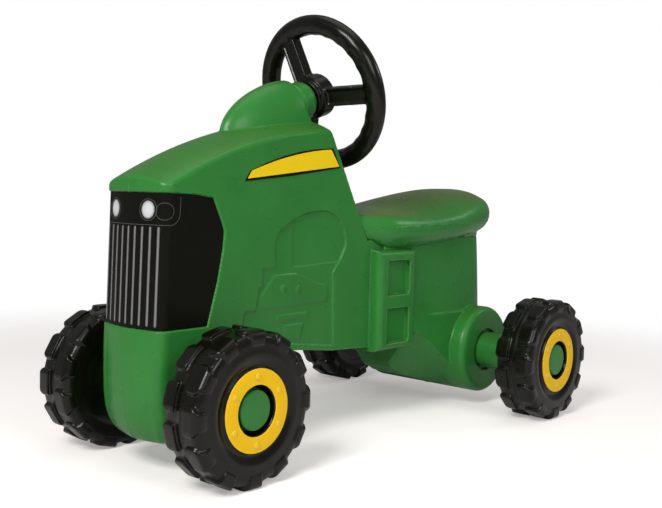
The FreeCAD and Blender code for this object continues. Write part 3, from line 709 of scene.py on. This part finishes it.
wheelLook = {
    "voxel": 0.7, "passes": 1, "triangles": 190000,
    "seamHalf": 0.7, "seamHeight": 0.3, "seamInner": 60.0, "lugs": 12, "stagger": 0.5,
    # one lug from the middle of the tread to its foot on the sidewall: (distance out, radius, half length)
    "lugRows": [
        (6.0, 71.98, 12.6), (11.0, 71.98, 13.4), (16.0, 71.98, 13.4), (18.6, 71.9, 12.0), (20.8, 71.3, 9.8),
        (22.8, 69.8, 8.2), (24.1, 67.0, 7.4), (24.3, 63.5, 7.2), (23.8, 59.5, 6.6),
    ],
    "lugSteps": [-1.0, -0.9, -0.64, -0.16, 0.0, 0.16, 0.64, 0.9, 1.0], "lugDrop": 0.5, "lugFlare": 2.6,
    "notch": 5.0, "rootRadius": 60.0, "rootIn": 4.0,
    # (radius, distance out): round the sidewall from the ring to the tread, the same on both sides
    "sidewall": [(50, 23.4), (56, 22.9), (61, 22.8), (64.4, 22.2), (66.9, 21.0), (68.4, 18.8), (69.1, 15.0)],
    "tread": (69.3, 9.7),
    "back": [(5.1, -22.0), (40, -22.0), (44, -22.6)],
    "face": [
        (46.5, 22.6), (43.5, 21.2), (41.0, 20.6), (39.2, 20.8), (38.4, 22.7), (22.8, 22.7), (21.8, 10.0),
        (16.4, 10.0), (16.4, 13.0), (5.1, 13.0),
    ],
    "ring": [(23.4, 22.7), (38.1, 22.7), (38.1, 23.7), (23.4, 23.7)], "ringEdge": 0.45,
    "boltCount": 6, "boltPlace": 31.0, "boltSize": 3.3, "boltHeight": 0.45, "boltFace": 23.7,
    "cap": [
        (0, 21.9), (12, 21.8), (17.6, 21.5), (18.5, 20.6), (18.5, 10.0), (16.5, 10.0), (16.5, 19.8),
        (0, 20.0),
    ],
    "capEdge": 0.9,
}


def carcassProfile():
    outer = wheelLook["sidewall"] + [wheelLook["tread"]]
    inner = [(r, -w) for r, w in outer]
    return roundedProfile(wheelLook["back"] + inner + outer[::-1] + wheelLook["face"], 2.0)


def lugMesh(name, side):  # block with a notched inner edge, narrowing where it turns down the sidewall
    look, points, faces = wheelLook, [], []
    crown, turn = look["lugRows"][0][1], look["stagger"] * 2 * pi / look["lugs"]
    for i, (w, r, half) in enumerate(look["lugRows"]):
        for s in look["lugSteps"]:
            out = w + look["notch"] if i == 0 and s == 0 else w
            drop = look["lugDrop"] if abs(s) == 1 and r > look["tread"][0] else 0.0
            clear = (crown - abs(s) * half * sin(turn)) / cos(turn)  # above the floor in the other row
            points.append(Vector((s * half, side * out, min(r, clear) - drop)) * mm)
        rootOut = min(w, look["lugRows"][-1][0] - look["rootIn"])
        rootHigh = min(r - look["rootIn"], look["rootRadius"])
        for s in (1, -1):
            points.append(Vector((s * (half + look["lugFlare"]), side * rootOut, rootHigh)) * mm)
    wide = len(look["lugSteps"]) + 2
    for j in range(len(look["lugRows"]) - 1):
        for i in range(wide):
            k = (i + 1) % wide
            faces.append((j * wide + i, j * wide + k, (j + 1) * wide + k, (j + 1) * wide + i))
    last = (len(look["lugRows"]) - 1) * wide
    faces += [tuple(range(wide)), tuple(last + i for i in range(wide))]
    return meshFrom(name, points, faces)


def turnTree():  # copies of two shapes turned evenly about Y, joined to a base shape
    inputs = {"Base": "Object", "First": "Object", "Second": "Object"}
    inputs.update({"Count": "Int", "Stagger": "Float", "Finish": "Material"})
    tree, given = newTree("turnedCopies", inputs)
    base = put(tree, "GeometryNodeObjectInfo", {"Object": given["Base"]}).outputs["Geometry"]
    line = {"Count": given["Count"], "Offset": (0, 0, 0)}
    places = put(tree, "GeometryNodeMeshLine", line, mode="OFFSET").outputs[0]
    number = put(tree, "GeometryNodeInputIndex").outputs[0]
    shifted = put(tree, "ShaderNodeMath", {0: number, 1: given["Stagger"]}, operation="ADD").outputs[0]
    pitch = put(tree, "ShaderNodeMath", {0: 2 * pi, 1: given["Count"]}, operation="DIVIDE").outputs[0]
    together = put(tree, "GeometryNodeJoinGeometry", {0: base})
    for source, place in (("First", number), ("Second", shifted)):
        shape = put(tree, "GeometryNodeObjectInfo", {"Object": given[source]}).outputs["Geometry"]
        angle = put(tree, "ShaderNodeMath", {0: place, 1: pitch}, operation="MULTIPLY").outputs[0]
        turn = put(tree, "ShaderNodeCombineXYZ", {"Y": angle}).outputs[0]
        each = {"Points": places, "Instance": shape, "Rotation": turn}
        copies = put(tree, "GeometryNodeInstanceOnPoints", each).outputs[0]
        tree.links.new(copies, together.inputs[0])
    return closeTree(tree, together.outputs[0], given["Finish"])


def boltMesh():  # low round stud
    look = wheelLook
    stud = [(0.0, -0.6), (1.0, -0.6), (1.0, 0.6), (0.92, 1.0), (0.0, 0.9)]
    profile = [(look["boltSize"] * r, look["boltFace"] + look["boltHeight"] * h) for r, h in stud]
    mesh = latheMesh("ringBolt", profile, 32)
    mesh.transform(Matrix.Translation((0, 0, look["boltPlace"] * mm)))
    return mesh


turned = turnTree()
carcass = addPiece("carcass", latheMesh("carcass", carcassProfile()))
outerLug = addPiece("outerLug", lugMesh("outerLug", 1))
innerLug = addPiece("innerLug", lugMesh("innerLug", -1))
ringProfile = roundedProfile(wheelLook["ring"], wheelLook["ringEdge"])
ringPlate = addPiece("ringPlate", latheMesh("ringPlate", ringProfile))
ringBolt = addPiece("ringBolt", boltMesh())
nothing = addPiece("nothing", bpy.data.meshes.new("nothing"))
lugging = {"Count": wheelLook["lugs"], "Stagger": wheelLook["stagger"], "Finish": blackMoulded}
studding = {"Count": wheelLook["boltCount"], "Stagger": 0.0, "Finish": yellowMoulded}
tyre = runTree("tyre", turned, {"Base": carcass, "First": outerLug, "Second": innerLug, **lugging})
ring = runTree("ring", turned, {"Base": ringPlate, "First": ringBolt, "Second": nothing, **studding})
cap = addPiece("cap", latheMesh("cap", roundedProfile(wheelLook["cap"], wheelLook["capEdge"]), 96))
soften(tyre, wheelLook)
raiseLine(tyre.data, (0, 0, 0), (0, 1, 0), wheelLook, wheelLook["seamInner"])
wheelParts = [
    (tyre, "wheel", "black_plastic", blackMoulded),
    (ring, "ring", "yellow_plastic", yellowMoulded),
    (cap, "cap", "green_plastic", capMoulded),
]
for corner in ("front_left", "front_right", "rear_left", "rear_right"):
    facing = Matrix.Rotation(pi if corner.endswith("right") else 0, 4, "Z")
    place = Matrix.Translation(joints[corner + "_roll"]["pos_m"]) @ facing
    for source, label, slotName, material in wheelParts:
        mesh = source.data.copy()
        mesh.transform(place)
        piece = addPiece(corner + "_" + source.name, mesh, material)
        handOver(piece, "wheel_" + corner, slotName, corner + "_" + label)
print("wheels: 4, tyre of", len(tyre.data.polygons), "faces")
for spare in (carcass, outerLug, innerLug, ringPlate, ringBolt, nothing, tyre, ring, cap):
    bpy.data.objects.remove(spare)


# steering wheel, built flat and then set on the steering axis

gripLook = {
    "voxel": 0.9, "passes": 2, "triangles": 190000,
    "rim": 76.2, "tube": 11.0, "fingers": 24, "fingerDepth": 0.8,
    "spokes": 3, "spokeAngle": 3.0, "dish": 0.28, "spokeWide": 20.0, "spokeDeep": 9.0, "spokeLift": 2.0,
    "rail": 2.6, "railHigh": 1.7, "inside": 6.0,
    "hub": [
        (0, -27.3), (20.5, -27.3), (20.5, -22.0), (24.0, -22.0), (24.0, -3.0), (16.2, -3.0), (16.2, -7.0),
        (0, -7.0),
    ],
    "hubEdge": 1.6,
    "cover": [
        (0, 0.6), (8, 0.2), (13.5, -0.6), (15.8, -2.2), (15.8, -6.8), (12.8, -6.8), (12.8, -4.0), (0, -4.0),
    ],
    "coverEdge": 0.9,
}


def rimTree():  # ring tube with finger dents on its front and inner side
    inputs = {"Radius": "Float", "Tube": "Float", "Fingers": "Int", "Depth": "Float", "Finish": "Material"}
    tree, given = newTree("grippedRim", inputs)
    circle = put(tree, "GeometryNodeCurvePrimitiveCircle", {"Resolution": 400, "Radius": given["Radius"]})
    section = put(tree, "GeometryNodeCurvePrimitiveCircle", {"Resolution": 48, "Radius": given["Tube"]})
    sweep = {"Curve": circle.outputs[0], "Profile Curve": section.outputs[0]}
    tube = put(tree, "GeometryNodeCurveToMesh", sweep).outputs[0]
    spot = put(tree, "GeometryNodeInputPosition").outputs[0]
    xyz = put(tree, "ShaderNodeSeparateXYZ", {0: spot}).outputs
    flat = put(tree, "ShaderNodeCombineXYZ", {"X": xyz["X"], "Y": xyz["Y"]}).outputs[0]
    far = put(tree, "ShaderNodeVectorMath", {0: flat}, operation="LENGTH").outputs["Value"]
    out = put(tree, "ShaderNodeMath", {0: far, 1: given["Radius"]}, operation="SUBTRACT").outputs[0]
    slant = {0: out, 1: 0.6, 2: xyz["Z"]}  # lowest on the front, inner side
    facing = put(tree, "ShaderNodeMath", slant, operation="MULTIPLY_ADD").outputs[0]
    share = put(tree, "ShaderNodeMath", {0: facing, 1: given["Tube"]}, operation="DIVIDE").outputs[0]
    fade = {"Value": share, "From Min": -0.3, "From Max": -1.0}
    mask = put(tree, "ShaderNodeMapRange", fade, interpolation_type="SMOOTHSTEP").outputs["Result"]
    angle = put(tree, "ShaderNodeMath", {0: xyz["Y"], 1: xyz["X"]}, operation="ARCTAN2").outputs[0]
    halves = put(tree, "ShaderNodeMath", {0: given["Fingers"], 1: 0.5}, operation="MULTIPLY").outputs[0]
    waves = put(tree, "ShaderNodeMath", {0: angle, 1: halves}, operation="MULTIPLY").outputs[0]
    wave = put(tree, "ShaderNodeMath", {0: waves}, operation="COSINE").outputs[0]
    dent = put(tree, "ShaderNodeMath", {0: wave}, operation="ABSOLUTE").outputs[0]  # round dents
    deep = put(tree, "ShaderNodeMath", {0: dent, 1: given["Depth"]}, operation="MULTIPLY").outputs[0]
    masked = put(tree, "ShaderNodeMath", {0: deep, 1: mask}, operation="MULTIPLY").outputs[0]
    inwards = put(tree, "ShaderNodeMath", {0: masked, 1: -1.0}, operation="MULTIPLY").outputs[0]
    normal = put(tree, "GeometryNodeInputNormal").outputs[0]
    push = put(tree, "ShaderNodeVectorMath", {0: normal, "Scale": inwards}, operation="SCALE").outputs[0]
    dented = put(tree, "GeometryNodeSetPosition", {"Geometry": tube, "Offset": push}).outputs[0]
    return closeTree(tree, dented, given["Finish"])


def boxInto(bm, low, high, turn):
    for v in bmesh.ops.create_cube(bm, size=1.0)["verts"]:
        place = [low[i] + (v.co[i] + 0.5) * (high[i] - low[i]) for i in range(3)]
        v.co = turn @ (Vector(place) * mm)


def spokesAndHub(bm):
    look = gripLook
    start, end, half, deep = look["inside"], look["rim"], look["spokeWide"] / 2, look["spokeDeep"] / 2
    high = deep + look["railHigh"]
    lower = Matrix.Translation((0, 0, (look["spokeLift"] - look["dish"] * look["rim"]) * mm))
    tilt = lower @ Matrix.Rotation(-atan(look["dish"]), 4, "Y")
    for i in range(look["spokes"]):
        turn = Matrix.Rotation(radians(look["spokeAngle"]) + 2 * pi * i / look["spokes"], 4, "Z") @ tilt
        boxInto(bm, (start, -half, -deep), (end, half, deep), turn)
        for y in (-half, half - look["rail"]):  # raised edges of the spoke
            boxInto(bm, (start, y, -high), (end, y + look["rail"], high), turn)
    hub = latheMesh("hub", roundedProfile(look["hub"], look["hubEdge"]), 96)
    hub.transform(Matrix.Rotation(pi / 2, 4, "X"))
    bm.from_mesh(hub)
    bmesh.ops.recalc_face_normals(bm, faces=bm.faces)


leftwards = Vector((0, 1, 0))
onAxis = Matrix((leftwards, steerAxis.cross(leftwards), steerAxis)).transposed().to_4x4()
onAxis.translation = steerCentre
rimSizes = {
    "Radius": gripLook["rim"] * mm, "Tube": gripLook["tube"] * mm, "Finish": blackMoulded,
    "Fingers": gripLook["fingers"], "Depth": gripLook["fingerDepth"] * mm,
}
steeringGrip = runTree("steeringGrip", rimTree(), rimSizes)
edited(steeringGrip.data, spokesAndHub)
soften(steeringGrip, gripLook)
steeringGrip.data.materials.clear()
steeringGrip.data.materials.append(blackMoulded)
steeringGrip.data.transform(onAxis)
handOver(steeringGrip, "steering", "black_plastic", "steering_wheel")

coverMesh = latheMesh("steeringCover", roundedProfile(gripLook["cover"], gripLook["coverEdge"]), 96)
coverMesh.transform(onAxis @ Matrix.Rotation(pi / 2, 4, "X"))
steeringCover = addPiece("steeringCover", coverMesh, blackMoulded)
handOver(steeringCover, "steering", "black_plastic", "steering_cap")
print("steering wheel:", len(steeringGrip.data.polygons), "faces")


# stage, light and camera

stageLook = {
    "paper": "#e6e2e1", "fibre": "#ece8e7", "shown": "#fcf9f8", "seen": 0.92, "size": 12.0,
    "glow": 0.33, "glowColour": (1.0, 0.95, 0.94, 1.0),
    "fadeStart": 0.55, "fadeEnd": 1.2, "dome": 0.17, "mirrored": 0.08,
}
lampLook = {
    "keyBox": {"place": (1.45, 0.45, 1.3), "size": 0.6, "power": 25.0, "colour": (1.0, 0.99, 0.96)},
    "topBox": {"place": (-0.1, 0.1, 1.9), "size": 1.2, "power": 4.5, "colour": (1.0, 0.98, 0.94)},
    "sideBox": {"place": (0.45, 1.6, 1.05), "size": 0.8, "power": 8.5, "colour": (1.0, 1.0, 0.98)},
    "rearBox": {"place": (-1.3, 0.9, 1.1), "size": 0.28, "power": 2.0, "colour": (1.0, 1.0, 0.96)},
}
lampAim = (0.0, 0.0, 0.2)
cameraLook = {
    "place": (779.106, 693.295, 266.397), "yaw": 41.353, "pitch": 3.824, "roll": 1.467,
    "focal": 910.43, "width": 662, "sensor": 36.0,  # focal length in pixels of the photograph's width
}


def seenWhite(tree):  # how far a ray sees the white background: wholly, or in part in a sheen
    rays = put(tree, "ShaderNodeLightPath").outputs
    glossy = {0: rays["Is Glossy Ray"], 1: stageLook["mirrored"]}
    mirrored = put(tree, "ShaderNodeMath", glossy, operation="MULTIPLY").outputs[0]
    through = {0: rays["Is Camera Ray"], 1: rays["Is Transmission Ray"]}
    direct = put(tree, "ShaderNodeMath", through, operation="MAXIMUM").outputs[0]
    return put(tree, "ShaderNodeMath", {0: direct, 1: mirrored}, operation="MAXIMUM").outputs[0]


def whitePaper():
    # matt studio paper, burnt out to white for the camera, still taking the object's soft shadow
    material, tree = newMaterial("whitePaperSweep")
    place = put(tree, "ShaderNodeTexCoord").outputs["Object"]
    clouds = {"Vector": place, "Scale": 1 / (40 * mm), "Detail": 2.0}  # 40 mm clouds in the paper
    fibre = put(tree, "ShaderNodeTexNoise", clouds).outputs["Fac"]
    stops = [(0.3, stageLook["paper"]), (0.7, stageLook["fibre"])]
    tone = put(tree, "ShaderNodeValToRGB", {"Fac": fibre}, stops=stops).outputs["Color"]
    matt = put(tree, "ShaderNodeBsdfDiffuse", {"Color": tone}).outputs[0]
    light = {"Color": stageLook["glowColour"], "Strength": stageLook["glow"]}
    glow = put(tree, "ShaderNodeEmission", light).outputs[0]
    pale = put(tree, "ShaderNodeBsdfDiffuse", {"Color": hexColour(stageLook["shown"])}).outputs[0]
    dull = put(tree, "ShaderNodeMixShader", {0: stageLook["seen"], 2: pale}).outputs[0]
    near = put(tree, "ShaderNodeAddShader", {0: dull, 1: glow}).outputs[0]
    far = put(tree, "ShaderNodeEmission", {"Strength": 1.0}).outputs[0]
    away = put(tree, "ShaderNodeVectorMath", {0: place}, operation="LENGTH").outputs["Value"]
    reach = {"Value": away, "From Min": stageLook["fadeStart"], "From Max": stageLook["fadeEnd"]}
    fade = put(tree, "ShaderNodeMapRange", reach, interpolation_type="SMOOTHSTEP").outputs["Result"]
    white = put(tree, "ShaderNodeMixShader", {0: fade, 1: near, 2: far}).outputs[0]
    seen = seenWhite(tree)
    paper = put(tree, "ShaderNodeMixShader", {0: seen, 1: matt, 2: white}).outputs[0]
    put(tree, "ShaderNodeOutputMaterial", {"Surface": paper})
    return material


def studioWorld():  # white behind the object, a dimmer dome for its light
    world = bpy.data.worlds.new("studio")
    world.use_nodes = True
    tree = world.node_tree
    tree.nodes.clear()
    strength = {"Value": seenWhite(tree), "To Min": stageLook["dome"], "To Max": 1.0}
    level = put(tree, "ShaderNodeMapRange", strength)
    back = put(tree, "ShaderNodeBackground", {"Color": (1, 1, 1, 1), "Strength": level.outputs["Result"]})
    put(tree, "ShaderNodeOutputWorld", {"Surface": back.outputs[0]})
    bpy.context.scene.world = world


def softBox(name, look):
    lamp = bpy.data.lights.new(name, "AREA")
    lamp.shape, lamp.size, lamp.energy, lamp.color = "SQUARE", look["size"], look["power"], look["colour"]
    holder = bpy.data.objects.new(name, lamp)
    bpy.context.scene.collection.objects.link(holder)
    holder.location = look["place"]
    aim = Vector(lampAim) - Vector(look["place"])
    holder.rotation_euler = aim.to_track_quat("-Z", "Y").to_euler()


def photoCamera():
    look = cameraLook
    yaw, pitch, roll = (radians(look[k]) for k in ("yaw", "pitch", "roll"))
    ahead = Vector((-cos(yaw) * cos(pitch), -sin(yaw) * cos(pitch), -sin(pitch)))
    level = ahead.cross(Vector((0, 0, 1))).normalized()
    upright = level.cross(ahead)
    right, up = cos(roll) * level + sin(roll) * upright, cos(roll) * upright - sin(roll) * level
    lens = bpy.data.cameras.new("photoCamera")
    lens.sensor_fit, lens.sensor_width = "HORIZONTAL", look["sensor"]
    lens.lens = look["focal"] * look["sensor"] / look["width"]
    lens.clip_start, lens.clip_end = 0.01, 50.0
    camera = bpy.data.objects.new("photoCamera", lens)
    bpy.context.scene.collection.objects.link(camera)
    view = Matrix((right, up, -ahead)).transposed().to_4x4()
    view.translation = Vector(look["place"]) * mm
    camera.matrix_world = view
    bpy.context.scene.camera = camera


reach = stageLook["size"] / 2
corners = [(-reach, -reach, 0), (reach, -reach, 0), (reach, reach, 0), (-reach, reach, 0)]
floor = addPiece("floor", meshFrom("floor", corners, [(0, 1, 2, 3)]), whitePaper())
studioWorld()
for name, look in lampLook.items():
    softBox(name, look)
photoCamera()
bpy.context.scene.view_settings.view_transform = "Standard"
print("stage, lights and camera set")

bpy.context.view_layer.update()
